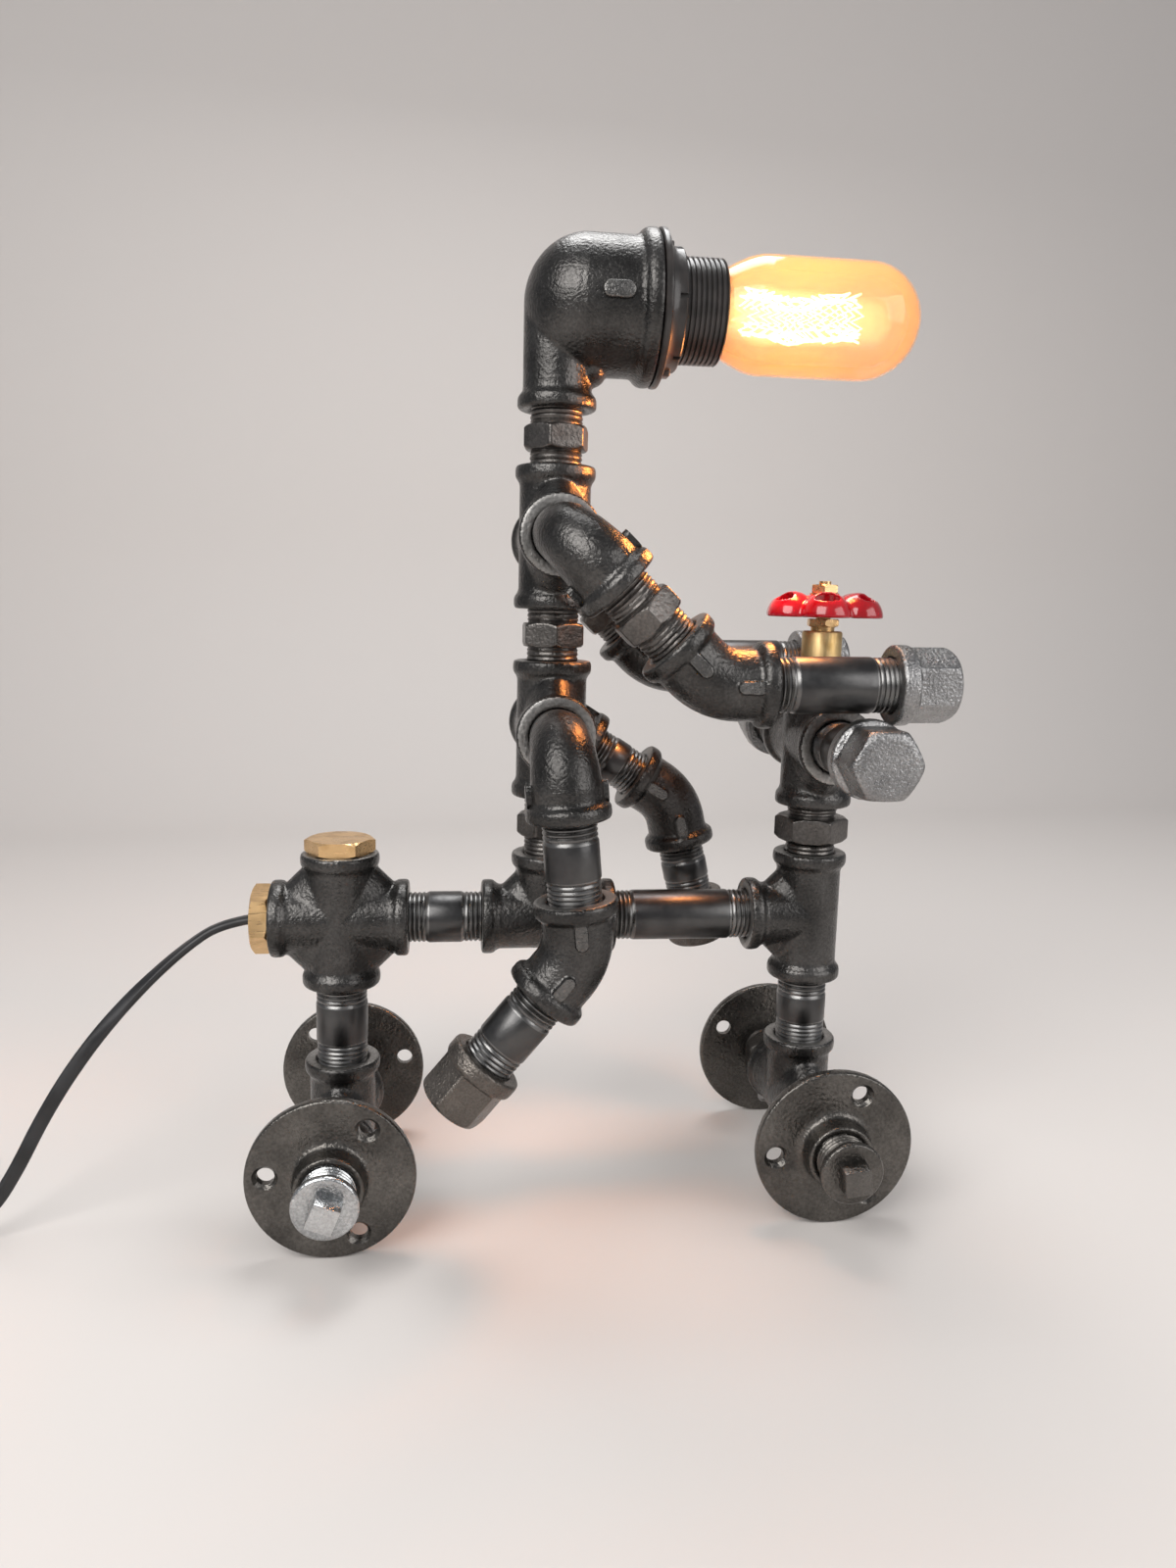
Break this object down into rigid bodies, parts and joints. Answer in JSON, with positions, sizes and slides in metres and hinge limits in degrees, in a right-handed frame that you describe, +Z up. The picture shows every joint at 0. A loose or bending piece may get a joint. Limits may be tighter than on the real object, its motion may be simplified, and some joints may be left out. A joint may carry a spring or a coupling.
{
  "type": "pipe table lamp",
  "caption": "Industrial pipe-fitting table lamp: a jointed figure on a wheeled cart, with a bulb for a head, swinging arms and legs, and a handwheel dimmer.",
  "frame": {"origin": "centre of the outline at table level, without the cord", "axes": "+X forward, the way the figure faces; +Y to its left; +Z up"},
  "size_m": [0.5123, 0.162, 0.3925],
  "materials": {
    "iron": "black malleable iron casting, semi-gloss with an orange-peel grain",
    "pipe_steel": "dark polished steel pipe",
    "plated_brass": "plated brass",
    "filament": "glowing filament",
    "amber_glass": "clear amber-tinted glass",
    "mount_glass": "clear glass stem",
    "cord_pvc": "black flexible PVC",
    "bush_rubber": "black rubber",
    "brass": "machined brass, lightly dulled",
    "dimmer_plastic": "matt black moulding",
    "grey_iron": "grey malleable iron, coarse cast grain",
    "red_enamel": "glossy red enamel",
    "bakelite": "black moulded phenolic, glossy",
    "brown_iron": "grey-brown malleable iron",
    "plug_pvc": "black moulded PVC with nickel pins",
    "zinc_plate": "bright zinc plating"
  },
  "bodies": {
    "frame": {"axle_nipples": "iron", "axle_tees": "iron", "base_nipples": "pipe_steel", "black_wheel_plugs": "iron", "cord": "cord_pvc", "cord_bush": "bush_rubber", "cord_coil": "cord_pvc", "cord_plug": "brass", "dimmer_body": "dimmer_plastic", "dimmer_bonnet": "brass", "dimmer_gland": "brass", "drop_nipples": "pipe_steel", "front_tee": "iron", "front_wheels": "iron", "handlebar_caps": "grey_iron", "handlebar_cross": "iron", "handlebar_nipples": "pipe_steel", "handlebar_riser": "iron", "inner_flex": "cord_pvc", "lower_cross": "iron", "mains_plug": "plug_pvc", "rear_cross": "iron", "rear_top_plug": "brass", "rear_wheels": "iron", "seat_tee": "iron", "torso_nipples": "iron", "upper_cross": "iron", "zinc_wheel_plug": "zinc_plate"},
    "dimmer_knob": {"dimmer_stem": "brass", "handwheel": "red_enamel", "handwheel_nut": "brass"},
    "head": {"head_elbow": "iron", "lampholder_body": "bakelite", "lampholder_ring": "bakelite", "lampholder_contacts": "plated_brass", "head_flex": "cord_pvc", "bulb_cap": "plated_brass", "bulb_glass": "amber_glass", "bulb_mount": "mount_glass", "bulb_filament": "filament"},
    "right_arm": {"right_shoulder_elbow": "iron", "right_arm_nipple": "iron", "right_arm_elbow": "iron", "right_forearm_nipple": "pipe_steel", "right_hand_cap": "grey_iron"},
    "right_leg": {"right_hip_elbow": "iron", "right_thigh_nipple": "pipe_steel", "right_knee_elbow": "iron", "right_shin_nipple": "pipe_steel", "right_foot_cap": "brown_iron"},
    "left_arm": {"left_shoulder_elbow": "iron", "left_arm_nipple": "iron", "left_arm_elbow": "iron", "left_forearm_nipple": "pipe_steel", "left_hand_cap": "grey_iron"},
    "left_leg": {"left_hip_elbow": "iron", "left_thigh_nipple": "pipe_steel", "left_knee_elbow": "iron", "left_shin_nipple": "pipe_steel", "left_foot_cap": "brown_iron"}
  },
  "joints": [
    {"name": "dimmer_turn", "type": "hinge", "parent": "frame", "child": "dimmer_knob", "pos_m": [0.10123, 0, 0.22044], "axis": [0.0251, 0, 0.9997], "range_deg": [0, 300]},
    {"name": "head_swivel", "type": "hinge", "parent": "frame", "child": "head", "pos_m": [-0.00971, 0, 0.32425], "axis": [0.0251, 0, 0.9997], "range_deg": [-90, 90]},
    {"name": "right_arm_raise", "type": "hinge", "parent": "frame", "child": "right_arm", "pos_m": [-0.01093, -0.052, 0.27527], "axis": [0, -1, 0], "range_deg": [0, 35]},
    {"name": "left_arm_raise", "type": "hinge", "parent": "frame", "child": "left_arm", "pos_m": [-0.01093, 0.052, 0.27527], "axis": [0, -1, 0], "range_deg": [0, 35]},
    {"name": "right_leg_swing", "type": "hinge", "parent": "frame", "child": "right_leg", "pos_m": [-0.01285, -0.052, 0.19879], "axis": [0, -1, 0], "range_deg": [-10, 60]},
    {"name": "left_leg_swing", "type": "hinge", "parent": "frame", "child": "left_leg", "pos_m": [-0.01285, 0.052, 0.19879], "axis": [0, -1, 0], "range_deg": [-55, 20]}
  ]
}
